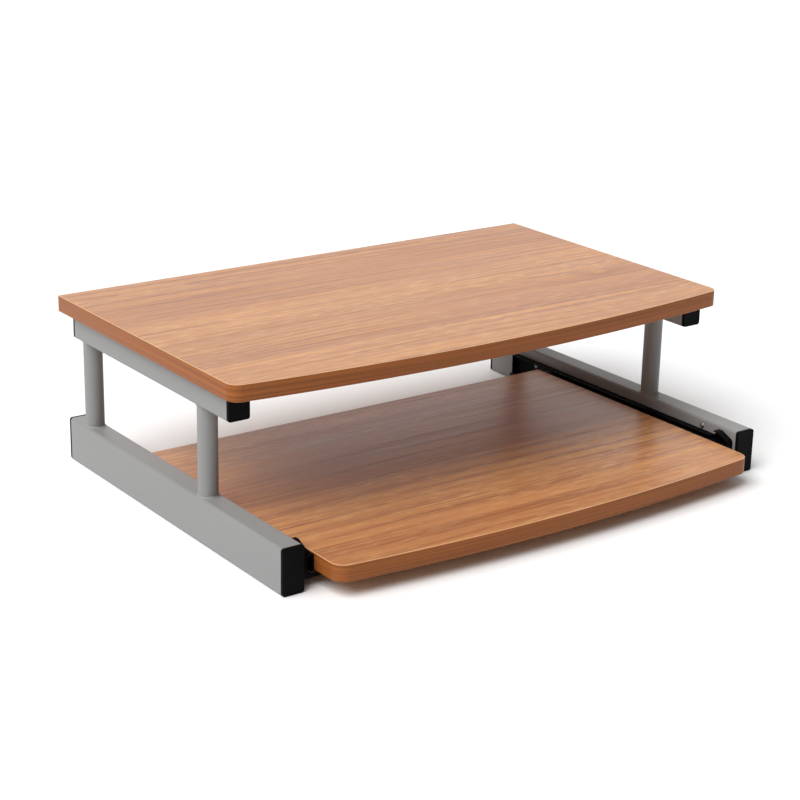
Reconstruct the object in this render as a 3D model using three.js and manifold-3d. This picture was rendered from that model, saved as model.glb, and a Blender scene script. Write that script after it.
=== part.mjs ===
// A fixed-height desk riser with a sliding keyboard tray.
// Two welded side frames of steel tube carry a laminated top board. Under it a laminated
// keyboard tray runs out to the front on a pair of roller slides, which are screwed to the
// inner faces of the two foot tubes.
// Units are millimetres. +Z is up, the front faces -Y, and the right side is +X.

import * as THREE from 'three';
import { mergeVertices } from 'three/addons/utils/BufferGeometryUtils.js';
import Module from 'manifold-3d';

const wasm = await Module();
wasm.setup();

// ---------------------------------------------------------------- driving dimensions

// Top board: straight back and sides, bowed front, rounded front corners.
const boardWidth = 650;
const boardSideDepth = 374;
const boardThickness = 18;
const boardSideOverhang = 7.5;
const boardBackOverhang = 2;
const frontBowRadius = 2400;
const boardCornerRadius = 14;
const edgeBandThickness = 0.8;

// Foot tubes, which lie on the desk and run from front to back.
const footTubeWidth = 25;
const footTubeHeight = 50;
const footTubeLength = 444;

// Top tubes, which carry the board.
const topTubeWidth = 25;
const topTubeHeight = 27;
const topTubeBackInset = 20;
const topTubeFrontInset = 19;

// All the rectangular tubes.
const tubeWall = 1.5;
const tubeCornerRadius = 3;

// Posts, which stand on the foot tubes and are welded at both ends.
const postDiameter = 21.3;
const postWall = 1.5;
const postLength = 99;
const rearPostInset = 22;
const frontPostInset = 63;

// Moulded plastic end caps.
const capThickness = 4;
const plugDepth = 16;
const plugWall = 2;
const plugClearance = 0.3;

// Keyboard tray.
const traySideDepth = 370.5;
const trayCornerRadius = 16;
const trayThickness = 18;
const trayAboveChannelBottom = 7.9;
const trayFrontOverhang = 42.5;
const trayPulledOut = 60;

// Roller slides: the space between foot tube and tray, the steel, and the channel.
const slideSpace = 15.5;
const slideSteel = 1.5;
const channelBelowFootTop = 12.5;
const channelHeight = 28;
const topFlangeWidth = 9;
const bottomLipHeight = 3;
const slideFrontInset = 8;
const noseHeight = 8;
const noseLength = 28;
const noseFrontDrop = 5.5;
const frontTongueWidth = 27;
const frontTongueHeight = 4.2;
const outStopHeight = 3;
const outStopFromFront = 100;
const movingRearInset = 1;
const movingFrontReach = 1;
const trackBelowChannelTop = 3.5;
const trayFlangeWidth = 14.3;

// Rollers and the riveted axles that they turn on.
const rollerEndGap = 1.05;
const rollerRimRound = 1;
const axleRadius = 3;
const axleHeadRadius = 4.5;
const axleHeadHeight = 1.2;

// Screws.
const boardScrewCount = 3;
const boardScrewEndInset = 35;
const boardScrewDepth = 12;
const traySlideScrewCount = 3;
const traySlideScrewEndInset = 25;
const trayScrewDepth = 11;
const railScrewCount = 3;
const railScrewEndInset = 40;
const railScrewBelowTop = 5.5;
const upperScrewFromFront = 50;
const upperScrewAboveSlide = 4.2;
const tappingLength = 9;
const screwRadius = 1.9;
const screwHeadRadius = 3.3;
const screwHeadHeight = 1.6;
const accessHoleRadius = 5;

// Fits.
const seatGap = 0.1;
const runningGap = 0.3;
const axleClearance = 0.05;
const screwClearance = 0.25;
const sideClearance = 1.7;
const cutMargin = 1;

// Smoothness.
const roundSegments = 24;
const screwSegments = 12;
const cornerSegments = 3;
const bowSegments = 24;

// ---------------------------------------------------------------- sizes that follow

const footLengthOverall = footTubeLength + 2 * capThickness;
const footFront = -footLengthOverall / 2;
const footBack = footLengthOverall / 2;

const boardBack = footBack + boardBackOverhang;
const boardSideFront = boardBack - boardSideDepth;
const topTubeTop = footTubeHeight + postLength + topTubeHeight;
const boardUnderside = topTubeTop + seatGap;
const topTubeBack = boardBack - topTubeBackInset;
const topTubeFront = boardSideFront + topTubeFrontInset;
const topTubeLength = topTubeBack - topTubeFront - 2 * capThickness;

const tubeOuterX = boardWidth / 2 - boardSideOverhang;
const footCentreX = tubeOuterX - footTubeWidth / 2;
const footInnerX = tubeOuterX - footTubeWidth;
const topTubeCentreX = footCentreX;
const rearPostY = topTubeBack - rearPostInset;
const frontPostY = topTubeFront + frontPostInset;

const slideFront = footFront + slideFrontInset;
const traySideFront = slideFront - trayFrontOverhang;
const trayBack = traySideFront + traySideDepth;
const slideRear = trayBack + trayPulledOut;
const channelTop = footTubeHeight - channelBelowFootTop;
const channelBottom = channelTop - channelHeight;
const channelWidth = slideSpace - runningGap - slideSteel - sideClearance;

const trayWidth = 2 * (footInnerX - slideSpace);
const trayUnderside = channelBottom + trayAboveChannelBottom;
const movingRear = trayBack - movingRearInset;
const movingFront = slideFront - movingFrontReach;
const movingLegOuter = slideSpace - runningGap - slideSteel;
const trackTop = channelTop - trackBelowChannelTop;
const trayFlangeTop = trayUnderside - seatGap * 2;
const trayFlangeBottom = trayFlangeTop - slideSteel;

const channelFloor = channelBottom + slideSteel;
const channelCeiling = channelTop - slideSteel;
const rearRollerRadius = (channelCeiling - channelFloor) / 2 - runningGap;
const rearRollerZ = (channelCeiling + channelFloor) / 2;
const rearRollerY = trayBack - slideSteel - runningGap - rearRollerRadius;
const frontRollerRadius = (trackTop - slideSteel - channelFloor) / 2 - runningGap;
const frontRollerZ = channelFloor + runningGap + frontRollerRadius;
const frontRollerY = slideFront + slideSteel + rollerEndGap + frontRollerRadius;
const rollerOuter = seatGap + slideSteel + seatGap + screwHeadHeight + runningGap;
const rollerInner = channelWidth - slideSteel - 2 * runningGap;
const trackOuter = rollerOuter + runningGap;

const boardScrewYs = spread(topTubeFront, topTubeBack, boardScrewEndInset, boardScrewCount);
const trayScrewYs = spread(movingFront, movingRear, traySlideScrewEndInset, traySlideScrewCount);
const railScrewYs = spread(slideFront, slideRear, railScrewEndInset, railScrewCount);
const railScrewZ = channelTop - railScrewBelowTop;
const upperScrewY = slideFront + upperScrewFromFront;
const upperScrewZ = channelTop + upperScrewAboveSlide;
const trayScrewX = footInnerX - slideSpace - trayFlangeWidth / 2 + slideSteel;

// ---------------------------------------------------------------- materials

function material(colour, roughness, metalness) {
  return new THREE.MeshStandardMaterial({ color: colour, roughness, metalness });
}

const laminate = material(0xc28f66, 0.45, 0);
const edgeBand = material(0xa87045, 0.5, 0);
const greyPowderCoat = material(0xa1a1a1, 0.5, 0.3);
const blackPlastic = material(0x131314, 0.55, 0);
const blackEpoxySteel = material(0x0f0f10, 0.4, 0.4);
const blackNylon = material(0x17171a, 0.5, 0);
const zincSteel = material(0xb9bcc0, 0.35, 0.9);

// ---------------------------------------------------------------- geometry helpers

// Evenly spaced places between two ends, kept an inset away from both.
function spread(low, high, inset, count) {
  const step = (high - low - 2 * inset) / (count - 1);
  return Array.from({ length: count }, (_, index) => low + inset + index * step);
}

function toSolid(geometry) {
  const bare = geometry.clone();
  bare.deleteAttribute('normal');
  bare.deleteAttribute('uv');
  const merged = mergeVertices(bare, 1e-4);
  return new wasm.Manifold(new wasm.Mesh({
    numProp: 3,
    vertProperties: new Float32Array(merged.attributes.position.array),
    triVerts: new Uint32Array(merged.index.array),
  }));
}

function toGeometry(solid) {
  const mesh = solid.getMesh();
  const geometry = new THREE.BufferGeometry();
  geometry.setAttribute('position', new THREE.BufferAttribute(new Float32Array(mesh.vertProperties), 3));
  geometry.setIndex(new THREE.BufferAttribute(new Uint32Array(mesh.triVerts), 1));
  geometry.computeVertexNormals();
  return geometry;
}

function joined(first, ...others) {
  return toGeometry(others.reduce((solid, other) => solid.add(toSolid(other)), toSolid(first)));
}

function cutBy(first, ...tools) {
  return toGeometry(tools.reduce((solid, tool) => solid.subtract(toSolid(tool)), toSolid(first)));
}

// A box given by its low and high corners.
function boxBetween(low, high) {
  const size = high.map((value, axis) => value - low[axis]);
  const middle = high.map((value, axis) => (value + low[axis]) / 2);
  return new THREE.BoxGeometry(...size).translate(...middle);
}

// An outline in XY, raised from one height to another.
function raised(shape, bottom, top) {
  const options = { depth: top - bottom, bevelEnabled: false, curveSegments: cornerSegments };
  return new THREE.ExtrudeGeometry(shape, options).translate(0, 0, bottom);
}

// An outline in XZ, drawn out along Y from its front to its back.
function alongY(shape, front, back) {
  return raised(shape, -back, -front).rotateX(Math.PI / 2);
}

// An outline in YZ, drawn out along X between two distances from a foot tube's inner face.
function fromFoot(shape, side, outer, inner) {
  const ends = [side * (footInnerX - outer), side * (footInnerX - inner)].sort((a, b) => a - b);
  return raised(shape, ends[0], ends[1]).rotateX(Math.PI / 2).rotateZ(Math.PI / 2);
}

// A box beside a foot tube: two distances from its inner face, then Y and Z ranges.
function boxFromFoot(side, outer, inner, front, back, bottom, top) {
  const ends = [side * (footInnerX - outer), side * (footInnerX - inner)].sort((a, b) => a - b);
  return boxBetween([ends[0], front, bottom], [ends[1], back, top]);
}

// A turned shape from [radius, height] pairs that start and end on its axis, or close.
function turned(profile, segments) {
  const points = profile.map(([radius, height]) => new THREE.Vector2(radius, height));
  return new THREE.LatheGeometry(points, segments);
}

function cylinderZ(radius, bottom, top, x, y) {
  const profile = [[0, bottom], [radius, bottom], [radius, top], [0, top]];
  return turned(profile, screwSegments).rotateX(Math.PI / 2).translate(x, y, 0);
}

// A cylinder along X between two distances from a foot tube's inner face.
function cylinderX(radius, side, outer, inner, y, z) {
  const profile = [[0, -inner], [radius, -inner], [radius, -outer], [0, -outer]];
  return turned(profile, screwSegments).rotateZ(-side * Math.PI / 2).translate(side * footInnerX, y, z);
}

// A rectangle whose corners are cut off at 45 degrees.
function cutRectangle(width, height, cut, middleX, middleY) {
  const x = width / 2;
  const y = height / 2;
  const corners = [[-x + cut, -y], [x - cut, -y], [x, -y + cut], [x, y - cut],
    [x - cut, y], [-x + cut, y], [-x, y - cut], [-x, -y + cut]];
  return new THREE.Shape(corners.map(([across, up]) => new THREE.Vector2(middleX + across, middleY + up)));
}

function roundedRectangle(width, height, radius, middleX, middleY) {
  const shape = new THREE.Shape();
  const x = width / 2 - radius;
  const y = height / 2 - radius;
  shape.absarc(middleX + x, middleY - y, radius, -Math.PI / 2, 0);
  shape.absarc(middleX + x, middleY + y, radius, 0, Math.PI / 2);
  shape.absarc(middleX - x, middleY + y, radius, Math.PI / 2, Math.PI);
  shape.absarc(middleX - x, middleY - y, radius, Math.PI, Math.PI * 1.5);
  shape.closePath();
  return shape;
}

// ---------------------------------------------------------------- boards

// A board's outline, drawn smaller all round by an inset: a square-cornered back, straight
// sides, and a front edge on one long arc that meets the sides in round corners.
function boardOutline({ width, back, sideFront, corner }, inset) {
  const halfWidth = width / 2;
  const arcY = sideFront + Math.sqrt(frontBowRadius ** 2 - halfWidth ** 2);
  const cornerX = halfWidth - corner;
  const reach = frontBowRadius - corner;
  const cornerY = arcY - Math.sqrt(reach ** 2 - cornerX ** 2);
  const turn = Math.atan2(cornerY - arcY, cornerX);
  const points = [new THREE.Vector2(-halfWidth + inset, back - inset)];
  const addArc = (x, y, radius, start, end, segments) => {
    for (let index = 0; index <= segments; index += 1) {
      const angle = start + (end - start) * index / segments;
      points.push(new THREE.Vector2(x + radius * Math.cos(angle), y + radius * Math.sin(angle)));
    }
  };
  const mirroredTurn = -Math.PI - turn;
  addArc(-cornerX, cornerY, corner - inset, -Math.PI, mirroredTurn, cornerSegments * 2);
  addArc(0, arcY, frontBowRadius - inset, mirroredTurn, turn, bowSegments);
  addArc(cornerX, cornerY, corner - inset, turn, 0, cornerSegments * 2);
  points.push(new THREE.Vector2(halfWidth - inset, back - inset));
  return points.filter((point, index) => index === 0 || point.distanceTo(points[index - 1]) > 1e-3);
}

function boardCore(board, pilotHoles) {
  const shape = new THREE.Shape(boardOutline(board, edgeBandThickness + seatGap));
  return cutBy(raised(shape, board.bottom, board.bottom + board.thickness), ...pilotHoles);
}

function boardEdgeBand(board) {
  const shape = new THREE.Shape(boardOutline(board, 0));
  shape.holes.push(new THREE.Path(boardOutline(board, edgeBandThickness)));
  return raised(shape, board.bottom, board.bottom + board.thickness);
}

function pilotHole(x, y, bottom, depth) {
  return cylinderZ(screwRadius + screwClearance, bottom - cutMargin, bottom + depth + cutMargin, x, y);
}

// ---------------------------------------------------------------- frames

function tubeSection(width, height, middleX, middleZ) {
  const shape = roundedRectangle(width, height, tubeCornerRadius, middleX, middleZ);
  const inner = [width - 2 * tubeWall, height - 2 * tubeWall, tubeCornerRadius - tubeWall];
  shape.holes.push(roundedRectangle(...inner, middleX, middleZ));
  return shape;
}

// The slide screws' holes go through the inner wall only.
function footTube(side) {
  const section = tubeSection(footTubeWidth, footTubeHeight, side * footCentreX, footTubeHeight / 2);
  const tube = alongY(section, footFront + capThickness + seatGap, footBack - capThickness - seatGap);
  const radius = screwRadius + screwClearance;
  const hole = (y, z) => cylinderX(radius, side, -tubeWall - cutMargin, cutMargin, y, z);
  const holes = railScrewYs.map((y) => hole(y, railScrewZ));
  return cutBy(tube, ...holes, hole(upperScrewY, upperScrewZ));
}

// Each board screw goes in through a wide hole below and bears on the tube's upper wall.
function topTube(side) {
  const x = side * topTubeCentreX;
  const section = tubeSection(topTubeWidth, topTubeHeight, x, topTubeTop - topTubeHeight / 2);
  const tube = alongY(section, topTubeFront + capThickness + seatGap, topTubeBack - capThickness - seatGap);
  const upper = boardScrewYs.map((y) => (
    cylinderZ(screwRadius + screwClearance, topTubeTop - tubeWall - cutMargin, topTubeTop + cutMargin, x, y)));
  const bottom = topTubeTop - topTubeHeight;
  const lower = boardScrewYs.map((y) => (
    cylinderZ(accessHoleRadius, bottom - cutMargin, bottom + tubeWall + cutMargin, x, y)));
  return cutBy(tube, ...upper, ...lower);
}

function post(side, y) {
  const bottom = footTubeHeight + seatGap;
  const top = footTubeHeight + postLength - seatGap;
  const outer = postDiameter / 2;
  const inner = outer - postWall;
  const profile = [[inner, bottom], [outer, bottom], [outer, top], [inner, top], [inner, bottom]];
  return turned(profile, roundSegments).rotateX(Math.PI / 2).translate(side * footCentreX, y, 0);
}

// A cap's plate covers the tube's end, and its hollow plug is pushed into the tube.
// facing is -1 on a front end and 1 on a back end.
function endCap(width, height, middleX, middleZ, tubeEnd, facing) {
  const plate = roundedRectangle(width, height, tubeCornerRadius, middleX, middleZ);
  const plugWidth = width - 2 * (tubeWall + plugClearance);
  const plugHeight = height - 2 * (tubeWall + plugClearance);
  const corner = tubeCornerRadius - tubeWall;
  const plug = cutRectangle(plugWidth, plugHeight, corner, middleX, middleZ);
  const hollow = [plugWidth - 2 * plugWall, plugHeight - 2 * plugWall, corner / 2];
  plug.holes.push(cutRectangle(...hollow, middleX, middleZ));
  const between = (shape, near, far) => {
    const ends = [tubeEnd + facing * near, tubeEnd + facing * far].sort((a, b) => a - b);
    return alongY(shape, ends[0], ends[1]);
  };
  return joined(between(plate, 0, capThickness), between(plug, capThickness / 2, -plugDepth));
}

// ---------------------------------------------------------------- slides

// The side of the fixed slide, drawn smaller by an inset: a long channel whose front end
// rises into a nose and then slopes down to a round tip.
function slideOutline(inset) {
  const top = channelTop - inset;
  const crest = channelTop + noseHeight - inset;
  const tip = slideFront + inset;
  const tipTop = channelTop + noseHeight - noseFrontDrop - inset;
  const tipRadius = 4;
  const shape = new THREE.Shape();
  shape.moveTo(slideRear - inset, channelBottom + inset);
  shape.lineTo(slideRear - inset, top);
  shape.lineTo(slideFront + noseLength + inset, top);
  shape.lineTo(slideFront + noseLength * 0.8 + inset, crest);
  shape.lineTo(slideFront + noseLength * 0.6, crest);
  shape.lineTo(tip + tipRadius, tipTop);
  shape.quadraticCurveTo(tip, tipTop - tipRadius / 2, tip, tipTop - tipRadius);
  shape.lineTo(tip, channelBottom + inset);
  shape.closePath();
  return shape;
}

// The slide that stays still: a channel open towards the tray and closed behind, with a lip
// along its floor. The closed end and a low stop near the front hold the rear roller between
// them. The front end is closed below and above the track, with a tongue under the tray.
function fixedSlide(side) {
  const outer = seatGap;
  const web = outer + slideSteel;
  const beyond = topFlangeWidth + cutMargin;
  const full = fromFoot(slideOutline(0), side, outer, topFlangeWidth);
  const hollow = fromFoot(slideOutline(slideSteel), side, web, beyond);
  const mouth = boxFromFoot(side, web, beyond, slideFront - cutMargin, frontRollerY,
    trackTop - slideSteel - runningGap, trackTop + runningGap);
  const floor = boxFromFoot(side, outer, channelWidth, slideFront, slideRear, channelBottom, channelFloor);
  const lip = boxFromFoot(side, channelWidth - slideSteel, channelWidth, slideFront, slideRear,
    channelBottom, channelFloor + bottomLipHeight);
  const tongue = boxFromFoot(side, outer, frontTongueWidth, slideFront, slideFront + slideSteel,
    channelBottom, channelBottom + frontTongueHeight);
  const outStopY = slideFront + outStopFromFront;
  const outStop = boxFromFoot(side, outer, rollerInner, outStopY - slideSteel * 2, outStopY,
    channelBottom, channelFloor + outStopHeight);
  const radius = screwRadius + screwClearance;
  const screwHoles = railScrewYs.map((y) => cylinderX(radius, side, -cutMargin, web + cutMargin, y, railScrewZ));
  const axleHole = cylinderX(axleRadius + seatGap, side, -cutMargin, web + cutMargin,
    frontRollerY, frontRollerZ);
  const channel = cutBy(full, hollow, mouth, ...screwHoles, axleHole);
  return joined(channel, floor, lip, tongue, outStop);
}

// The slide that travels with the tray: a flange under the tray, a leg up its edge, and a
// track that runs on the front roller. The track stops short of the rear roller.
function movingSlide(side) {
  const legInner = movingLegOuter + slideSteel;
  const flangeInner = legInner + trayFlangeWidth;
  const corners = [[trackOuter, trackTop - slideSteel], [movingLegOuter, trackTop - slideSteel],
    [movingLegOuter, trayFlangeBottom], [flangeInner, trayFlangeBottom], [flangeInner, trayFlangeTop],
    [legInner, trayFlangeTop], [legInner, trackTop], [trackOuter, trackTop]];
  const section = new THREE.Shape(corners.map(([inward, z]) => (
    new THREE.Vector2(side * (footInnerX - inward), z))));
  const trackEnd = rearRollerY - rearRollerRadius - slideSteel;
  const behindTrack = boxFromFoot(side, trackOuter - cutMargin, movingLegOuter, trackEnd,
    movingRear + cutMargin, trackTop - slideSteel - cutMargin, trackTop + cutMargin);
  const axleHole = cylinderX(axleRadius + seatGap, side, movingLegOuter - cutMargin,
    legInner + cutMargin, rearRollerY, rearRollerZ);
  const screwHoles = trayScrewYs.map((y) => cylinderZ(screwRadius + screwClearance,
    trayFlangeBottom - cutMargin, trayFlangeTop + cutMargin, side * trayScrewX, y));
  return cutBy(alongY(section, movingFront, movingRear), behindTrack, axleHole, ...screwHoles);
}

// A roller with its middle at the origin and its axle along X. The axle's head lies in the
// counterbore, which faces +X when facing is 1.
function roller(radius, facing) {
  const width = rollerInner - rollerOuter;
  const half = width / 2;
  const bore = axleRadius + axleClearance;
  const counterbore = axleHeadRadius + runningGap;
  const step = half - axleHeadHeight - runningGap;
  const profile = [[bore, -half], [radius - rollerRimRound, -half], [radius, -half + rollerRimRound],
    [radius, half - rollerRimRound], [radius - rollerRimRound, half], [counterbore, half],
    [counterbore, step], [bore, step], [bore, -half]];
  return turned(profile, roundSegments).rotateZ(-facing * Math.PI / 2);
}

// A riveted axle along X: its plain end lies in the steel that holds it, and its head lies
// in the roller. stem runs from the held end to the head's outer face.
function axle(stem, facing) {
  const profile = [[0, 0], [axleRadius, 0], [axleRadius, stem - axleHeadHeight],
    [axleHeadRadius, stem - axleHeadHeight], [axleHeadRadius, stem], [0, stem]];
  return turned(profile, roundSegments).rotateZ(-facing * Math.PI / 2);
}

// ---------------------------------------------------------------- screws

// A pan-head screw: its head stands on height 0 and its shank points down the other way.
function screw(length) {
  const round = screwHeadHeight * 0.4;
  const profile = [[0, -length], [screwRadius, -length + screwRadius], [screwRadius, 0],
    [screwHeadRadius, 0], [screwHeadRadius, screwHeadHeight - round],
    [screwHeadRadius - round, screwHeadHeight], [0, screwHeadHeight]];
  return turned(profile, screwSegments);
}

// ---------------------------------------------------------------- assembly

const riser = new THREE.Group();

function add(name, geometry, surface, position = [0, 0, 0]) {
  const mesh = new THREE.Mesh(geometry, surface);
  mesh.name = name;
  mesh.position.set(...position);
  riser.add(mesh);
}

function addBoards() {
  const top = {
    width: boardWidth,
    back: boardBack,
    sideFront: boardSideFront,
    corner: boardCornerRadius,
    bottom: boardUnderside,
    thickness: boardThickness,
  };
  const topHoles = [-1, 1].flatMap((side) => boardScrewYs.map((y) => (
    pilotHole(side * topTubeCentreX, y, boardUnderside, boardScrewDepth))));
  add('top_board', boardCore(top, topHoles), laminate);
  add('top_board_edge_band', boardEdgeBand(top), edgeBand);
  const tray = {
    width: trayWidth,
    back: trayBack,
    sideFront: traySideFront,
    corner: trayCornerRadius,
    bottom: trayUnderside,
    thickness: trayThickness,
  };
  const trayHoles = [-1, 1].flatMap((side) => trayScrewYs.map((y) => (
    pilotHole(side * trayScrewX, y, trayUnderside, trayScrewDepth))));
  add('keyboard_tray', boardCore(tray, trayHoles), laminate);
  add('keyboard_tray_edge_band', boardEdgeBand(tray), edgeBand);
}

function addFrame(side, label) {
  add(`${label}_foot_tube`, footTube(side), greyPowderCoat);
  add(`${label}_top_tube`, topTube(side), greyPowderCoat);
  add(`${label}_front_post`, post(side, frontPostY), greyPowderCoat);
  add(`${label}_rear_post`, post(side, rearPostY), greyPowderCoat);
  const foot = [footTubeWidth, footTubeHeight, side * footCentreX, footTubeHeight / 2];
  const top = [topTubeWidth, topTubeHeight, side * topTubeCentreX, topTubeTop - topTubeHeight / 2];
  add(`${label}_foot_front_cap`, endCap(...foot, footFront + capThickness, -1), blackPlastic);
  add(`${label}_foot_rear_cap`, endCap(...foot, footBack - capThickness, 1), blackPlastic);
  add(`${label}_top_front_cap`, endCap(...top, topTubeFront + capThickness, -1), blackPlastic);
  add(`${label}_top_rear_cap`, endCap(...top, topTubeBack - capThickness, 1), blackPlastic);
}

function addSlide(side, label) {
  add(`${label}_fixed_slide`, fixedSlide(side), blackEpoxySteel);
  add(`${label}_moving_slide`, movingSlide(side), blackEpoxySteel);
  const rollerX = side * (footInnerX - (rollerOuter + rollerInner) / 2);
  add(`${label}_front_roller`, roller(frontRollerRadius, -side), blackNylon,
    [rollerX, frontRollerY, frontRollerZ]);
  add(`${label}_rear_roller`, roller(rearRollerRadius, side), blackNylon,
    [rollerX, rearRollerY, rearRollerZ]);
  const frontHeld = seatGap * 2;
  const frontStem = rollerInner - frontHeld;
  add(`${label}_front_roller_axle`, axle(frontStem, -side), zincSteel,
    [side * (footInnerX - frontHeld), frontRollerY, frontRollerZ]);
  const rearHeld = movingLegOuter + slideSteel;
  const rearStem = rearHeld - rollerOuter;
  add(`${label}_rear_roller_axle`, axle(rearStem, side), zincSteel,
    [side * (footInnerX - rearHeld), rearRollerY, rearRollerZ]);
}

function addScrews(side, label) {
  const boardHead = topTubeTop - tubeWall - seatGap;
  const boardLength = tubeWall + 2 * seatGap + boardScrewDepth;
  boardScrewYs.forEach((y, index) => add(`${label}_board_screw_${index + 1}`,
    screw(boardLength).rotateX(-Math.PI / 2), zincSteel, [side * topTubeCentreX, y, boardHead]));
  const trayHead = trayFlangeBottom - seatGap;
  const trayLength = slideSteel + 3 * seatGap + trayScrewDepth;
  trayScrewYs.forEach((y, index) => add(`${label}_tray_screw_${index + 1}`,
    screw(trayLength).rotateX(-Math.PI / 2), zincSteel, [side * trayScrewX, y, trayHead]));
  const slideHead = seatGap + slideSteel + seatGap;
  railScrewYs.forEach((y, index) => add(`${label}_slide_screw_${index + 1}`,
    screw(tappingLength).rotateZ(side * Math.PI / 2), zincSteel,
    [side * (footInnerX - slideHead), y, railScrewZ]));
  add(`${label}_upper_slide_screw`, screw(tappingLength).rotateZ(side * Math.PI / 2), zincSteel,
    [side * (footInnerX - seatGap), upperScrewY, upperScrewZ]);
}

addBoards();
for (const [side, label] of [[-1, 'left'], [1, 'right']]) {
  addFrame(side, label);
  addSlide(side, label);
  addScrews(side, label);
}

// The origin is on the desk, at the middle of the riser's width and of its depth with the
// tray as it stands.
const bowBase = Math.sqrt(frontBowRadius ** 2 - (trayWidth / 2) ** 2);
const trayFrontMiddle = traySideFront - (frontBowRadius - bowBase);
riser.position.y = -(boardBack + trayFrontMiddle) / 2;
riser.updateMatrixWorld(true);

export default riser;
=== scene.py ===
import math

import bmesh
import bpy
from mathutils import Matrix, Vector


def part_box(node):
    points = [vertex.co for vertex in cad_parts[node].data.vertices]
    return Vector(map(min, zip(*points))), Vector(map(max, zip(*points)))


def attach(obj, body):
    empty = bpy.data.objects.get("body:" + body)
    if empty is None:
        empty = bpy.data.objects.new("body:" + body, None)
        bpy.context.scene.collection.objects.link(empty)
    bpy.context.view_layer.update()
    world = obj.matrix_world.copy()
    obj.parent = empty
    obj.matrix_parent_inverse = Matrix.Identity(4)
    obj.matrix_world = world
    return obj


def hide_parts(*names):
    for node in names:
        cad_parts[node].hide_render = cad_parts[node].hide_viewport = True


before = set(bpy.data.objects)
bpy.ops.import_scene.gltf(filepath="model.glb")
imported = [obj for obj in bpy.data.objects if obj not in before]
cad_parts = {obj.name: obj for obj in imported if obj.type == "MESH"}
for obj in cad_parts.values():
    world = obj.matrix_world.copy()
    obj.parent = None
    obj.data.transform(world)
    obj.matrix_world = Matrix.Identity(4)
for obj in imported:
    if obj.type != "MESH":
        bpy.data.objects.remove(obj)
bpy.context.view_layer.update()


# Foot tubes and top tubes. Cold-rolled rectangular steel tube with rolled corners, sawn to
# length. The feet lie on the desk, the top tubes carry the board, and each top tube is
# drilled from below so that a screwdriver reaches the board screws inside it.

# Sizes are in millimetres and angles in degrees, unless a comment says otherwise. OUTWARD is
# the way along X that faces out on each side, and points SAME_POINT metres apart are merged.
OUTWARD = {"left": -1, "right": 1}
TUBE_WALL = 1.5
TUBE_CORNER = 3.0
TUBE_LEAST_CORNER = 0.6
CORNER_STEPS = 8
ACCESS_HOLE_RADIUS = 5.0
ACCESS_HOLE_REACH = 6.0
ROUND_STEPS = 48
SHARP_ANGLE = 32
SAME_POINT = 1e-6


def mm(length):
    return length / 1000


def linear(hex_code):
    """An sRGB hex colour as the linear RGBA that the shaders use."""
    channels = [int(hex_code[place:place + 2], 16) / 255 for place in (1, 3, 5)]
    return (*[c / 12.92 if c <= 0.04045 else ((c + 0.055) / 1.055) ** 2.4 for c in channels], 1.0)


def add_node(tree, kind, settings=(), links=()):
    """Adds a shader node. A setting is an input's name or number, or the node's own property."""
    node = tree.nodes.new(kind)
    for name, value in dict(settings).items():
        if isinstance(name, int) or name in node.inputs:
            node.inputs[name].default_value = value
        else:
            setattr(node, name, value)
    for name, source in dict(links).items():
        tree.links.new(source, node.inputs[name])
    return node


def patches(tree, place, size, detail, low=0.0, high=1.0, least=0.0, most=1.0):
    """Noise in patches of a size in millimetres, one number or one for each axis. Its values
    from low to high are spread over least to most."""
    lengths = size if isinstance(size, tuple) else (size, size, size)
    scale = {"operation": "MULTIPLY", 1: [1 / mm(length) for length in lengths]}
    scaled = add_node(tree, "ShaderNodeVectorMath", scale, {0: place})
    noise = add_node(tree, "ShaderNodeTexNoise", {"Scale": 1.0, "Detail": detail},
                     {"Vector": scaled.outputs[0]})
    spread = {"From Min": low, "From Max": high, "To Min": least, "To Max": most}
    return add_node(tree, "ShaderNodeMapRange", spread, {"Value": noise.outputs[0]}).outputs[0]


def new_finish(name):
    """An empty material, and the place on its piece, in metres."""
    finish = bpy.data.materials.new(name)
    finish.use_nodes = True
    tree = finish.node_tree
    tree.nodes.clear()
    place = add_node(tree, "ShaderNodeTexCoord").outputs["Object"]
    return finish, tree, place


def close_finish(tree, surface, colour, gloss_pattern, gloss, relief, strength, height):
    """Ends a material with its surface shader. The roughness goes from one end of gloss to the
    other with its pattern. The relief is a bump of a height in millimetres."""
    roughness = add_node(tree, "ShaderNodeMapRange", {"To Min": gloss[0], "To Max": gloss[1]},
                         {"Value": gloss_pattern})
    bump = add_node(tree, "ShaderNodeBump", {"Strength": strength, "Distance": mm(height)},
                    {"Height": relief})
    shader = add_node(tree, "ShaderNodeBsdfPrincipled", surface,
                      {"Base Color": colour, "Roughness": roughness.outputs[0],
                       "Normal": bump.outputs[0]})
    add_node(tree, "ShaderNodeOutputMaterial", (), {"Surface": shader.outputs[0]})


def patchy_finish(name, colours, patch, gloss, relief, strength, height, surface, worn=(0.0, 1.0)):
    """A material in two near colours that lie in patches, which its roughness follows. Patch
    and relief are each a size and a detail, and worn is where in the patches the colour turns."""
    finish, tree, place = new_finish(name)
    pattern = patches(tree, place, *patch)
    amount = add_node(tree, "ShaderNodeMapRange", {"From Min": worn[0], "From Max": worn[1]},
                      {"Value": pattern})
    colour = add_node(tree, "ShaderNodeMix", {"data_type": "RGBA", 6: linear(colours[0]),
                                              7: linear(colours[1])}, {0: amount.outputs[0]})
    close_finish(tree, surface, colour.outputs[2], pattern, gloss, patches(tree, place, *relief),
                 strength, height)
    return finish


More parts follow.
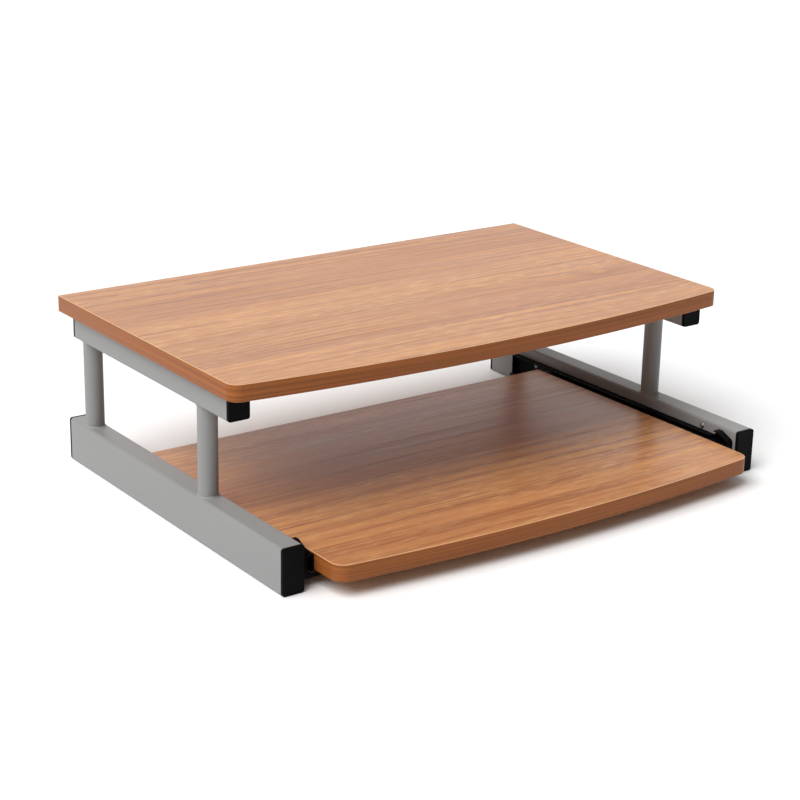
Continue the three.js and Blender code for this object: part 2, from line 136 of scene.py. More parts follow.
def shade(mesh):
    """Smooth shading that breaks at the real arrises."""
    work = bmesh.new()
    work.from_mesh(mesh)
    bmesh.ops.remove_doubles(work, verts=work.verts, dist=SAME_POINT)
    for face in work.faces:
        face.smooth = True
    for edge in work.edges:
        edge.smooth = edge.calc_face_angle(0) < math.radians(SHARP_ANGLE)
    work.to_mesh(mesh)
    work.free()


def made_piece(name, work):
    """The object that a finished bmesh becomes."""
    mesh = bpy.data.meshes.new(name)
    work.to_mesh(mesh)
    work.free()
    shade(mesh)
    piece = bpy.data.objects.new(name, mesh)
    bpy.context.scene.collection.objects.link(piece)
    return piece


def skinned(name, rings, ring_to_ring=False):
    """An object skinned over rings of points. Its ends are filled, or meet if ring_to_ring."""
    work = bmesh.new()
    rows = [[work.verts.new(point) for point in ring] for ring in rings]
    pairs = list(zip(rows, rows[1:]))
    if ring_to_ring:
        pairs.append((rows[-1], rows[0]))
    for here, there in pairs:
        for place, start in enumerate(here):
            after = (place + 1) % len(here)
            work.faces.new((start, here[after], there[after], there[place]))
    if not ring_to_ring:
        work.faces.new(rows[0][::-1])
        work.faces.new(rows[-1])
    bmesh.ops.remove_doubles(work, verts=work.verts, dist=SAME_POINT)
    bmesh.ops.recalc_face_normals(work, faces=work.faces)
    return made_piece(name, work)


def circle(radius, steps=ROUND_STEPS):
    """Points of a circle round the origin, as pairs."""
    turns = [2 * math.pi * step / steps for step in range(steps)]
    return [(radius * math.cos(turn), radius * math.sin(turn)) for turn in turns]


def tube_ring(low, high, y, inset):
    """The outline of a rectangular tube with this box, at y, drawn in by inset millimetres."""
    middle = (low + high) / 2
    half_wide = (high.x - low.x) / 2 - mm(inset)
    half_high = (high.z - low.z) / 2 - mm(inset)
    corner = mm(max(TUBE_CORNER - inset, TUBE_LEAST_CORNER))
    ring = []
    for quarter, (right, up) in enumerate(((1, 1), (-1, 1), (-1, -1), (1, -1))):
        for step in range(CORNER_STEPS + 1):
            turn = math.pi / 2 * (quarter + step / CORNER_STEPS)
            x = right * (half_wide - corner) + corner * math.cos(turn)
            z = up * (half_high - corner) + corner * math.sin(turn)
            ring.append((middle.x + x, y, middle.z + z))
    return ring


def drilled(piece, centre, radius, depth):
    """Cuts a round vertical hole through a piece."""
    rings = [[Vector((x, y, z)) + centre for x, y in circle(radius)] for z in (-depth, depth)]
    drill = skinned("drill", rings)
    cut = piece.modifiers.new("hole", "BOOLEAN")
    cut.object = drill
    cut.operation = "DIFFERENCE"
    graph = bpy.context.evaluated_depsgraph_get()
    mesh = bpy.data.meshes.new_from_object(piece.evaluated_get(graph))
    piece.modifiers.clear()
    piece.data = mesh
    bpy.data.objects.remove(drill)
    shade(mesh)


def fit(piece, finish, body, node):
    """Gives a piece its material and its body, in place of the plain CAD node."""
    piece.data.materials.clear()
    piece.data.materials.append(finish)
    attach(piece, body)
    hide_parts(node)


# Grey powder coat on steel: polyester powder baked to a film. The film levels to a faint
# orange peel with a satin gloss, and is a little lighter where it built up thicker.
POWDER_GREY = "#8c8c8b"
POWDER_GREY_THIN = "#848484"
POWDER_CLOUD = 70
ORANGE_PEEL = 2.2
powder_coat = patchy_finish(
    "powder_coated_steel_satin", (POWDER_GREY_THIN, POWDER_GREY), patch=(POWDER_CLOUD, 3.0),
    gloss=(0.36, 0.5), relief=(ORANGE_PEEL, 1.5), strength=0.25, height=0.06,
    surface={"IOR": 1.5, "Specular IOR Level": 0.3})

for side in OUTWARD:
    for tube in ("foot_tube", "top_tube"):
        low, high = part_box(f"{side}_{tube}")
        ends = ((0, low.y), (0, high.y), (TUBE_WALL, high.y), (TUBE_WALL, low.y))
        rings = [tube_ring(low, high, y, inset) for inset, y in ends]
        piece = skinned(f"{side}_{tube}_rolled", rings, ring_to_ring=True)
        if tube == "top_tube":
            for number in (1, 2, 3):
                head_low, head_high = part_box(f"{side}_board_screw_{number}")
                centre = Vector(((low.x + high.x) / 2, (head_low.y + head_high.y) / 2, low.z))
                drilled(piece, centre, mm(ACCESS_HOLE_RADIUS), mm(ACCESS_HOLE_REACH))
        fit(piece, powder_coat, "frame", f"{side}_{tube}")


# Posts. Round steel tube of 21.3 mm, cut square and welded all round to the foot and the
# top tube. The weld is a low rippled fillet, coated in with the rest of the frame.

POST_WALL = 1.5
POST_BURIED = 1.2
POST_STEPS = 72
WELD_SINK = 0.4
WELD_HEIGHT = 2.1
WELD_REACH_ACROSS = 1.4
WELD_REACH_ALONG = 3.0
WELD_RIPPLES = 19
WELD_RIPPLE_DEPTH = 0.16
WELD_WANDERS = ((0.12, 3, 1.1), (0.08, 7, 2.3))
WELD_HOLLOW = 0.8
WELD_STEPS = 152
WELD_SECTION_STEPS = 6


def tube_shoulder(offset, half_wide):
    """How far the tube's rounded top lies below its crown, so far from its middle line."""
    past = abs(offset) - (half_wide - mm(TUBE_CORNER))
    if past <= 0:
        return 0
    past = min(past, mm(TUBE_CORNER))
    return mm(TUBE_CORNER) - math.sqrt(mm(TUBE_CORNER) ** 2 - past ** 2)


def weld_rings(centre, radius, half_wide, up):
    """Rings of a weld fillet round a post's end. up is 1 on a foot and -1 under a top tube."""
    rings = []
    for step in range(WELD_STEPS):
        turn = 2 * math.pi * step / WELD_STEPS
        ripple = 1 - WELD_RIPPLE_DEPTH * (1 - abs(math.sin(turn * WELD_RIPPLES / 2)))
        wander = 1 + sum(share * math.sin(waves * turn + start) for share, waves, start in WELD_WANDERS)
        along = math.sin(turn) ** 2
        reach = mm(WELD_REACH_ACROSS + (WELD_REACH_ALONG - WELD_REACH_ACROSS) * along) * ripple
        height = mm(WELD_HEIGHT) * ripple * wander
        inside = radius - mm(WELD_SINK)
        section = [(inside, height), (radius, height)]
        for bend in range(1, WELD_SECTION_STEPS):
            slope = math.pi / 2 * bend / WELD_SECTION_STEPS
            section.append((radius + reach * (1 - math.cos(slope)) ** WELD_HOLLOW,
                            height * (1 - math.sin(slope)) ** WELD_HOLLOW))
        section += [(radius + reach, 0), (radius + reach, -mm(WELD_SINK)), (inside, -mm(WELD_SINK))]
        ring = []
        for distance, lift in section:
            x = distance * math.cos(turn)
            drop = tube_shoulder(x, half_wide) * (1 - min(max(lift / height, 0), 1))
            ring.append(centre + Vector((x, distance * math.sin(turn), up * (lift - drop))))
        rings.append(ring)
    return rings


for side in OUTWARD:
    foot_low, foot_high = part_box(f"{side}_foot_tube")
    top_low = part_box(f"{side}_top_tube")[0]
    half_tube = (foot_high.x - foot_low.x) / 2
    bottom = foot_high.z - mm(POST_BURIED)
    top = top_low.z + mm(POST_BURIED)
    for post in ("front_post", "rear_post"):
        low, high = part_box(f"{side}_{post}")
        centre = (low + high) / 2
        radius = (high.y - low.y) / 2
        bore = radius - mm(POST_WALL)
        rings = []
        for ring_radius, z in ((radius, bottom), (radius, top), (bore, top), (bore, bottom)):
            rings.append([(centre.x + x, centre.y + y, z) for x, y in circle(ring_radius, POST_STEPS)])
        piece = skinned(f"{side}_{post}_drawn", rings, ring_to_ring=True)
        fit(piece, powder_coat, "frame", f"{side}_{post}")
        for end, z, up in (("lower", foot_high.z, 1), ("upper", top_low.z, -1)):
            seat = Vector((centre.x, centre.y, z))
            bead = skinned(f"{side}_{post}_{end}_weld", weld_rings(seat, radius, half_tube, up),
                           ring_to_ring=True)
            bead.data.materials.append(powder_coat)
            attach(bead, "frame")


# End caps. Injection-moulded polyethylene: a flange as wide as the tube with eased edges,
# and a hollow ribbed plug that is pressed into the tube's end and grips its walls.

CAP_FLANGE = 4.0
CAP_EDGE = 1.1
CAP_EDGE_STEPS = 5
CAP_DISH = 0.25
CAP_DISH_BROW = 0.2
CAP_DISH_BORDER = 2.2
CAP_DISH_SLOPE = 0.5
PLUG_INSET = 1.8
PLUG_WALL = 2.0
PLUG_DEPTH = 16.0
PLUG_RIBS = 4
PLUG_RIB_START = 1
PLUG_RIB_HEIGHT = 0.25
PLUG_RIB_CREST = 0.15
PLUG_RIB_FOOT = 0.75
PLUG_TIP_TAPER = 0.5

# Black polyethylene, moulded in a spark-eroded tool: the fine even grain of the steel gives
# a soft matt black, with a slight shine where fingers and the press have rubbed it.
CAP_BLACK = "#070708"
CAP_BLACK_RUBBED = "#0e0e0f"
SPARK_GRAIN = 0.9
RUBBED_PATCH = 22
moulded_black = patchy_finish(
    "moulded_polyethylene_black", (CAP_BLACK, CAP_BLACK_RUBBED), patch=(RUBBED_PATCH, 3.0),
    gloss=(0.62, 0.4), relief=(SPARK_GRAIN, 2.0), strength=0.35, height=0.05,
    surface={"IOR": 1.5, "Specular IOR Level": 0.05})


def cap_profile():
    """Inset from the tube's outline and depth from the cap's face, round to the plug's floor."""
    profile = [(CAP_DISH_BORDER + CAP_DISH_SLOPE, CAP_DISH), (CAP_DISH_BORDER, CAP_DISH_BROW),
               (CAP_DISH_BORDER - CAP_DISH_SLOPE, 0)]
    for step in range(CAP_EDGE_STEPS + 1):
        turn = math.pi / 2 * step / CAP_EDGE_STEPS
        profile.append((CAP_EDGE * (1 - math.sin(turn)), CAP_EDGE * (1 - math.cos(turn))))
    profile += [(0, CAP_FLANGE), (PLUG_INSET, CAP_FLANGE)]
    pitch = (PLUG_DEPTH - 2 * PLUG_RIB_START) / PLUG_RIBS
    for rib in range(PLUG_RIBS):
        start = CAP_FLANGE + PLUG_RIB_START + rib * pitch
        profile += [(PLUG_INSET, start), (PLUG_INSET - PLUG_RIB_HEIGHT, start + pitch * PLUG_RIB_CREST),
                    (PLUG_INSET, start + pitch * PLUG_RIB_FOOT)]
    end = CAP_FLANGE + PLUG_DEPTH
    return profile + [(PLUG_INSET + PLUG_TIP_TAPER, end), (PLUG_INSET + PLUG_WALL, end),
                      (PLUG_INSET + PLUG_WALL, CAP_FLANGE)]


for side in OUTWARD:
    for tube in ("foot", "top"):
        tube_low, tube_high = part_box(f"{side}_{tube}_tube")
        for end, inward in (("front", 1), ("rear", -1)):
            node = f"{side}_{tube}_{end}_cap"
            low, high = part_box(node)
            face_y = low.y if inward > 0 else high.y
            rings = [tube_ring(tube_low, tube_high, face_y + inward * mm(depth), inset)
                     for inset, depth in cap_profile()]
            piece = skinned(f"{node}_moulded", rings)
            fit(piece, moulded_black, "frame", node)


# Roller slides. Two bent steel profiles a side, 1.5 mm thick: a channel screwed to the foot
# tube, with a raised nose, stops and a tongue under the tray, and an angle under the tray
# that runs on a roller. The arrises of the sheet are rounded by the coat.

SLIDE_ARRIS = 0.35
SLIDE_ARRIS_STEPS = 2
FLAT_ANGLE = 1
ARRIS_ANGLE = 40

# Black epoxy powder over cold-rolled steel: thin and smooth with little shine, faintly
# streaked along the profile, with grey rubbed lines where the rollers pass.
EPOXY_BLACK = "#050506"
EPOXY_BLACK_WORN = "#101011"
EPOXY_STREAK = (1.111, 71.43, 1.111)
EPOXY_FILM = 3
EPOXY_RUBBED = (0.6, 0.78)
epoxy_black = patchy_finish(
    "epoxy_coated_steel_black", (EPOXY_BLACK, EPOXY_BLACK_WORN), patch=(EPOXY_STREAK, 3.0),
    gloss=(0.38, 0.55), relief=(EPOXY_FILM, 1.0), strength=0.2, height=0.04,
    surface={"IOR": 1.55, "Specular IOR Level": 0.05}, worn=EPOXY_RUBBED)


def eased_copy(name, node, arris):
    """A copy of a CAD node's shape with its flat faces made whole and its arrises rounded."""
    work = bmesh.new()
    work.from_mesh(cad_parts[node].data)
    bmesh.ops.remove_doubles(work, verts=work.verts, dist=SAME_POINT)
    bmesh.ops.dissolve_limit(work, angle_limit=math.radians(FLAT_ANGLE), verts=work.verts,
                             edges=work.edges)
    arrises = [edge for edge in work.edges if edge.calc_face_angle(0) > math.radians(ARRIS_ANGLE)]
    bmesh.ops.bevel(work, geom=arrises, offset=arris, segments=SLIDE_ARRIS_STEPS, profile=0.5,
                    affect="EDGES", clamp_overlap=True)
    return made_piece(name, work)


for side in OUTWARD:
    for slide, body in (("fixed_slide", "frame"), ("moving_slide", "tray")):
        piece = eased_copy(f"{side}_{slide}_bent", f"{side}_{slide}", mm(SLIDE_ARRIS))
        fit(piece, epoxy_black, body, f"{side}_{slide}")


# Rollers and axles. Each slide turns on a nylon wheel with round shoulders and a recess for
# the rivet's head. The rivet is cold-headed zinc-plated steel.

ROLLER_SHOULDER = 1.0
ROLLER_SHOULDER_STEPS = 4
ROLLER_BORE = 3.05
ROLLER_RECESS = 4.8
ROLLER_RECESS_DEPTH = 1.5
ROLLER_WEB_DISH = 0.4
ROLLER_WEB_SLOPE = 0.8
ROLLER_RIM = 1.6
AXLE_CLEARANCE = 0.05
AXLE_HEAD_HEIGHT = 1.2
AXLE_HEAD_DOME = 0.5
AXLE_DOME_POINTS = ((0.4, 0.93), (0.1, 0.7), (0, 0))

# Nylon 6, moulded black: a waxy dark surface with fine turned rings worn into its rim.
NYLON_BLACK = "#121214"
NYLON_BLACK_WORN = "#222225"
NYLON_WEAR = ((0.7143, 16.67, 16.67), 2.0)
nylon_black = patchy_finish(
    "moulded_nylon_black", (NYLON_BLACK, NYLON_BLACK_WORN), patch=NYLON_WEAR, gloss=(0.32, 0.5),
    relief=NYLON_WEAR, strength=0.2, height=0.03, surface={"IOR": 1.53})

# Bright zinc plate on cold-headed steel: blue-white metal, brushed dull in faint patches by
# the barrel it was plated in.
ZINC = "#a9acb0"
ZINC_DULL = "#84878b"
ZINC_PATCH = (1.6, 3.0)
zinc_plate = patchy_finish(
    "zinc_plated_steel", (ZINC, ZINC_DULL), patch=ZINC_PATCH, gloss=(0.22, 0.42),
    relief=ZINC_PATCH, strength=0.15, height=0.02, surface={"Metallic": 1.0})


def turned_along_x(name, centre, profile, ring_to_ring=False):
    """A turned piece whose axis is X. The profile is pairs of place along X and radius."""
    rings = []
    for x, radius in profile:
        rings.append([centre + Vector((x, y, z)) for y, z in circle(radius)])
    return skinned(name, rings, ring_to_ring)


def roller_profile(half, radius, recess_side):
    """The wheel's section as a closed loop, from one end of its bore round the rim to the other."""
    bore = mm(ROLLER_BORE)
    recess = mm(ROLLER_RECESS)
    web = half - mm(ROLLER_WEB_DISH)
    shoulder = mm(ROLLER_SHOULDER)
    flank = [(half, recess), (web, recess + mm(ROLLER_WEB_SLOPE)),
             (web, radius - mm(ROLLER_RIM + ROLLER_WEB_SLOPE)), (half, radius - mm(ROLLER_RIM))]
    for step in range(ROLLER_SHOULDER_STEPS + 1):
        turn = math.pi / 2 * step / ROLLER_SHOULDER_STEPS
        flank.append((half - shoulder * (1 - math.cos(turn)), radius - shoulder * (1 - math.sin(turn))))
    seat = half - mm(ROLLER_RECESS_DEPTH)
    profile = [(-half, bore), *[(-x, ring) for x, ring in flank], *flank[::-1], (seat, recess), (seat, bore)]
    return [(recess_side * x, ring) for x, ring in profile]


for side, outward in OUTWARD.items():
    for end, holder, facing in (("front", "frame", -outward), ("rear", "tray", outward)):
        low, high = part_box(f"{side}_{end}_roller")
        section = roller_profile((high.x - low.x) / 2, (high.z - low.z) / 2, facing)
        piece = turned_along_x(f"{side}_{end}_roller_wheel", (low + high) / 2, section, ring_to_ring=True)
        fit(piece, nylon_black, f"{side}_{end}_roller_turning", f"{side}_{end}_roller")
        low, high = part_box(f"{side}_{end}_roller_axle")
        reach = (high.x - low.x) / 2
        head = (high.z - low.z) / 2
        neck = reach - mm(AXLE_HEAD_HEIGHT)
        stem = mm(ROLLER_BORE - AXLE_CLEARANCE)
        dome = mm(AXLE_HEAD_DOME)
        section = [(-reach, 0), (-reach, stem), (neck, stem), (neck, head), (reach - dome, head)]
        section += [(reach - dome * drop, head * share) for drop, share in AXLE_DOME_POINTS]
        rivet = turned_along_x(f"{side}_{end}_roller_rivet", (low + high) / 2,
                               [(facing * x, ring) for x, ring in section])
        fit(rivet, zinc_plate, holder, f"{side}_{end}_roller_axle")


# Screws. Pan-head thread-forming screws with a cross recess, zinc plated: three up into the
# board and three up into the tray a side, three through each slide and one above its nose.

SCREW_STEPS = 32
SCREW_CREST = 1.9
SCREW_ROOT = 1.5
SCREW_PITCH = 1.2
SCREW_RINGS_PER_PITCH = 4
SCREW_POINT = 2.4
SCREW_HEAD_HEIGHT = 1.6
SCREW_HEAD_SIDE = 0.6
SCREW_HEAD_EDGE = 0.1
SCREW_HEAD_RINGS = 18
SCREW_HEAD_CROWN = 4
RECESS_ARM = 1.85
RECESS_HALF_WIDTH = 0.42
RECESS_DEPTH = 1.0
RECESS_SOFT = 0.22
RECESS_TAPER = 1.6


def recess_depth(across, up):
    """Depth of the cross recess at a point of the head, tapering along its four arms."""
    long_way = max(abs(across), abs(up))
    short_way = min(abs(across), abs(up))
    within_arm = min(max((RECESS_HALF_WIDTH - short_way) / RECESS_SOFT + 0.5, 0), 1)
    taper = min(max((RECESS_ARM - long_way) / RECESS_ARM * RECESS_TAPER, 0), 1)
    return RECESS_DEPTH * within_arm * taper


def screw_rings(length, head_radius):
    """Rings of a screw whose seat is at 0, with the shank up +Z and the head below 0."""
    rings = []
    turns = [2 * math.pi * step / SCREW_STEPS for step in range(SCREW_STEPS)]
    count = round(length / SCREW_PITCH * SCREW_RINGS_PER_PITCH)
    for step in range(count, -1, -1):
        z = length * step / count
        thin = min(1, (length - z) / SCREW_POINT)
        ring = []
        for turn in turns:
            phase = (z / SCREW_PITCH - turn / (2 * math.pi)) % 1
            radius = (SCREW_ROOT + (SCREW_CREST - SCREW_ROOT) * (1 - abs(2 * phase - 1))) * thin
            ring.append((radius * math.cos(turn), radius * math.sin(turn), z))
        rings.append(ring)
    for radius, z in ((head_radius - SCREW_HEAD_EDGE, 0), (head_radius, -SCREW_HEAD_EDGE),
                      (head_radius, -SCREW_HEAD_SIDE)):
        rings.append([(x, y, z) for x, y in circle(radius, SCREW_STEPS)])
    for step in range(SCREW_HEAD_RINGS - 1, -1, -1):
        share = step / SCREW_HEAD_RINGS
        rise = SCREW_HEAD_HEIGHT - (SCREW_HEAD_HEIGHT - SCREW_HEAD_SIDE) * share ** SCREW_HEAD_CROWN
        points = circle(head_radius * share, SCREW_STEPS)
        rings.append([(x, y, -rise + recess_depth(x, y)) for x, y in points])
    return rings


for side, outward in OUTWARD.items():
    upward = [(f"{side}_board_screw_{number}", "frame") for number in (1, 2, 3)]
    upward += [(f"{side}_tray_screw_{number}", "tray") for number in (1, 2, 3)]
    sideways = [(f"{side}_slide_screw_{number}", "frame") for number in (1, 2, 3)]
    sideways += [(f"{side}_upper_slide_screw", "frame")]
    for node, body in upward + sideways:
        low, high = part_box(node)
        centre = (low + high) / 2
        if (node, body) in upward:
            length = high.z - low.z
            head_radius = (high.x - low.x) / 2
            stand = Matrix.Translation((centre.x, centre.y, low.z + mm(SCREW_HEAD_HEIGHT)))
        else:
            length = high.x - low.x
            head_radius = (high.z - low.z) / 2
            head_x = (low.x if outward > 0 else high.x) + outward * mm(SCREW_HEAD_HEIGHT)
            stand = Matrix.Translation((head_x, centre.y, centre.z))
            stand = stand @ Matrix.Rotation(outward * math.pi / 2, 4, "Y")
        shank = length * 1000 - SCREW_HEAD_HEIGHT
        rings = [[stand @ (Vector(point) / 1000) for point in ring]
                 for ring in screw_rings(shank, head_radius * 1000)]
        piece = skinned(f"{node}_cross_head", rings)
        fit(piece, zinc_plate, body, node)


# Top board and keyboard tray. 18 mm particle board faced on both sides with wood-grain
# melamine, cut with a bowed front. A thin wood-grain edge band is glued all round, its two
# arrises trimmed round, which leaves a fine glue line between band and face.

BOW_RADIUS = 2400
BOARD_CORNERS = {"top_board": 14, "keyboard_tray": 16}
BACK_CORNER = 1.2
BACK_CORNER_STEPS = 4
FRONT_CORNER_STEPS = 14
BOW_STEPS = 72
BAND_THICKNESS = 0.8
BAND_ARRIS = 0.6
BAND_ARRIS_STEPS = 5
GLUE_LINE = 0.05
FACE_CHAMFER = 0.12
LEAST_STEP = 1e-3

# Wood-grain melamine: a printed paper of straight-grained cherry under clear melamine
# resin, pressed on a satin plate. Long tan and pinkish-brown bands run across the board,
# with fine growth lines that close into long arches, silky short fibres and dark pores.
# Fibres and pores are about 0.3 mm wide and are drawn 4 to 5 mm wide, so that they show.
LIGHT_WOOD = "#cd9055"
DARK_WOOD = "#9b5c36"
GROWTH_LINE = "#6b3a20"
PORE = "#74381b"
FLECK = "#e2b27c"

# Each layer of the print has its size along, across and through the board, the detail of its
# noise, and the noise's values at which it is absent and full.
PRINT_DEPTH = 25
SWAYS = ((384.6, 142.9, PRINT_DEPTH), 1.0, 0.0, 1.0)
BANDS = ((1250, 66.67, PRINT_DEPTH), 2.0, 0.36, 0.64)
STREAKS = ((769.2, 11.11, PRINT_DEPTH), 3.0, 0.32, 0.68)
FIBRES = ((250, 4.167, PRINT_DEPTH), 2.0, 0.34, 0.66)
WANDERS = ((1111, 111.1, PRINT_DEPTH), 0.0, 0.0, 1.0)
GROWTH_PLACES = ((400, 45.45, PRINT_DEPTH), 1.0, 0.4, 0.66)
PORES = ((400, 4.545, PRINT_DEPTH), 2.0, 0.57, 0.68)
SILK = ((22.22, 3.846, PRINT_DEPTH), 1.0, 0.5, 0.72)
SWAY = 7
BAND_SHARE = 0.3
STREAK_SHARE = 0.3
FIBRE_SHARE = 0.4
GROWTH_LINES_PER_METRE = 27
GROWTH_SLOPE = 3.3
GROWTH_WANDER = 0.3
LATE_WOOD = (0.6, 0.97)
GROWTH_LEAST = 0.05
GROWTH_MOST = 0.5
ARCH_RISE = 0.17
ARCHES = (((-0.24, 0.170, 0.194), 0.20, 0.06), ((0.26, -0.010, 0.194), 0.22, 0.06))
PORE_STRENGTH = 0.48
SILK_LEAST = 0.1
laminate, tree, place = new_finish("melamine_wood_grain_satin")
sway = patches(tree, place, *SWAYS, least=-mm(SWAY), most=mm(SWAY))
aside = add_node(tree, "ShaderNodeCombineXYZ", (), {"Y": sway})
grain = add_node(tree, "ShaderNodeVectorMath", {"operation": "ADD"},
                 {0: place, 1: aside.outputs[0]}).outputs[0]

# The ground colour: broad bands, narrower streaks and fibres, each with its share.
bands = patches(tree, grain, *BANDS, most=BAND_SHARE)
streaks = patches(tree, grain, *STREAKS, most=STREAK_SHARE)
fibres = patches(tree, grain, *FIBRES)
tone = add_node(tree, "ShaderNodeMath", {"operation": "ADD"}, {0: bands, 1: streaks})
tone = add_node(tree, "ShaderNodeMath", {"operation": "MULTIPLY_ADD", 1: FIBRE_SHARE},
                {0: fibres, 2: tone.outputs[0]})
wood = add_node(tree, "ShaderNodeMix", {"data_type": "RGBA", 6: linear(DARK_WOOD),
                                        7: linear(LIGHT_WOOD)}, {0: tone.outputs[0]}).outputs[2]

# Growth lines: level steps on a slope across the board, which a low hump bends into each
# arch. An arch has its middle, its half length and its half width, in metres. A year's growth
# darkens between the two parts of LATE_WOOD, and its line shows more in some places.
across = add_node(tree, "ShaderNodeSeparateXYZ", (), {0: grain}).outputs["Y"]
wander = patches(tree, grain, *WANDERS, most=GROWTH_WANDER)
rise = add_node(tree, "ShaderNodeMath", {"operation": "MULTIPLY_ADD", 1: GROWTH_SLOPE},
                {0: across, 2: wander})
for middle, half_long, half_wide in ARCHES:
    off = add_node(tree, "ShaderNodeVectorMath", {"operation": "SUBTRACT", 1: middle}, {0: grain})
    scale = (1 / half_long, 1 / half_wide, 1 / mm(PRINT_DEPTH))
    off = add_node(tree, "ShaderNodeVectorMath", {"operation": "MULTIPLY", 1: scale},
                   {0: off.outputs[0]})
    off = add_node(tree, "ShaderNodeVectorMath", {"operation": "LENGTH"}, {0: off.outputs[0]})
    hump = add_node(tree, "ShaderNodeMapRange", {"interpolation_type": "SMOOTHSTEP",
                                                 "To Min": ARCH_RISE, "To Max": 0.0},
                    {"Value": off.outputs["Value"]})
    rise = add_node(tree, "ShaderNodeMath", {"operation": "ADD"},
                    {0: rise.outputs[0], 1: hump.outputs[0]})
year = add_node(tree, "ShaderNodeMath", {"operation": "MULTIPLY", 1: GROWTH_LINES_PER_METRE},
                {0: rise.outputs[0]})
year = add_node(tree, "ShaderNodeMath", {"operation": "FRACT"}, {0: year.outputs[0]})
shown = patches(tree, place, *GROWTH_PLACES, least=GROWTH_LEAST, most=GROWTH_MOST)
late = add_node(tree, "ShaderNodeMapRange", {"From Min": LATE_WOOD[0], "From Max": LATE_WOOD[1]},
                {"Value": year.outputs[0], "To Max": shown}).outputs[0]

# Pores, and the silky flecks that show most in the light bands.
pores = patches(tree, grain, *PORES, most=PORE_STRENGTH)
silk = patches(tree, grain, *SILK)
silk_most = add_node(tree, "ShaderNodeMath", {"operation": "ADD", 1: SILK_LEAST}, {0: bands})
silk = add_node(tree, "ShaderNodeMath", {"operation": "MULTIPLY"},
                {0: silk, 1: silk_most.outputs[0]}).outputs[0]
for colour, amount in ((GROWTH_LINE, late), (PORE, pores), (FLECK, silk)):
    wood = add_node(tree, "ShaderNodeMix", {"data_type": "RGBA", 7: linear(colour)},
                    {0: amount, 6: wood}).outputs[2]
close_finish(tree, {"IOR": 1.5}, wood, gloss_pattern=fibres, gloss=(0.3, 0.4), relief=fibres,
             strength=0.15, height=0.05)

# Wood-grain edge band: printed ABS strip with its grain along its length. Fine light and
# dark lines run level round the board. Its rounded arrises and thin top and bottom faces are
# painted paler, partly for the pale trimmed plastic and partly as a painted highlight.
BAND_LIGHT = "#a15e2c"
BAND_DARK = "#7a451f"
BAND_TRIMMED_AND_HIGHLIGHT = "#ecc096"
BAND_LINES = ((250, 250, 1.786), 0.0, 0.22, 0.78)
BAND_BROAD_LINES = ((250, 250, 3.333), 2.0, 0.0, 1.0)
LINE_SHARE = 0.7
TRIM_AND_HIGHLIGHT_FACING = (0.45, 0.85)
TRIM_AND_HIGHLIGHT_MOST = 0.9
edge_band, tree, place = new_finish("abs_edge_band_wood_grain")
lines = patches(tree, place, *BAND_LINES)
broad = patches(tree, place, *BAND_BROAD_LINES, most=1 - LINE_SHARE)
tone = add_node(tree, "ShaderNodeMath", {"operation": "MULTIPLY_ADD", 1: LINE_SHARE},
                {0: lines, 2: broad})
strip = add_node(tree, "ShaderNodeMix", {"data_type": "RGBA", 6: linear(BAND_DARK),
                                         7: linear(BAND_LIGHT)}, {0: tone.outputs[0]})
# Painted highlight: faces that point up or down are painted paler. This stands partly for trimmed plastic
# and partly for light on the rounded arris.
facing = add_node(tree, "ShaderNodeNewGeometry")
facing = add_node(tree, "ShaderNodeSeparateXYZ", (), {0: facing.outputs["Normal"]})
facing = add_node(tree, "ShaderNodeMath", {"operation": "ABSOLUTE"}, {0: facing.outputs["Z"]})
trim_and_highlight = add_node(tree, "ShaderNodeMapRange", {"From Min": TRIM_AND_HIGHLIGHT_FACING[0], "From Max": TRIM_AND_HIGHLIGHT_FACING[1],
                                                "To Max": TRIM_AND_HIGHLIGHT_MOST}, {"Value": facing.outputs[0]})
strip = add_node(tree, "ShaderNodeMix", {"data_type": "RGBA", 7: linear(BAND_TRIMMED_AND_HIGHLIGHT)},
                 {0: trim_and_highlight.outputs[0], 6: strip.outputs[2]})
close_finish(tree, {"IOR": 1.5, "Specular IOR Level": 0.2}, strip.outputs[2], gloss_pattern=lines,
             gloss=(0.34, 0.46), relief=lines, strength=0.15, height=0.05)


def board_ring(low, high, corner, inset, level):
    """A level ring of the board, anticlockwise and in metres, drawn in from its edge by inset.
    low and high are in metres, and the other lengths in millimetres."""
    half = (high.x - low.x) * 1000 / 2
    back = high.y * 1000
    arc_y = low.y * 1000 + BOW_RADIUS
    corner_x = half - corner
    corner_y = arc_y - math.sqrt((BOW_RADIUS - corner) ** 2 - corner_x ** 2)
    meet = math.atan2(corner_y - arc_y, corner_x)
    rear_x = half - BACK_CORNER
    rear_y = back - BACK_CORNER
    arcs = [(rear_x, rear_y, BACK_CORNER, 0, math.pi / 2, BACK_CORNER_STEPS),
            (-rear_x, rear_y, BACK_CORNER, math.pi / 2, math.pi, BACK_CORNER_STEPS),
            (-corner_x, corner_y, corner, -math.pi, -math.pi - meet, FRONT_CORNER_STEPS),
            (0, arc_y, BOW_RADIUS, -math.pi - meet, meet, BOW_STEPS),
            (corner_x, corner_y, corner, meet, 0, FRONT_CORNER_STEPS)]
    points = []
    for centre_x, centre_y, radius, start, end, steps in arcs:
        for step in range(steps + 1):
            turn = start + (end - start) * step / steps
            reach = radius - inset
            point = (centre_x + reach * math.cos(turn), centre_y + reach * math.sin(turn))
            if not points or math.dist(point, points[-1]) > LEAST_STEP:
                points.append(point)
    return [(mm(x), mm(y), mm(level)) for x, y in points]


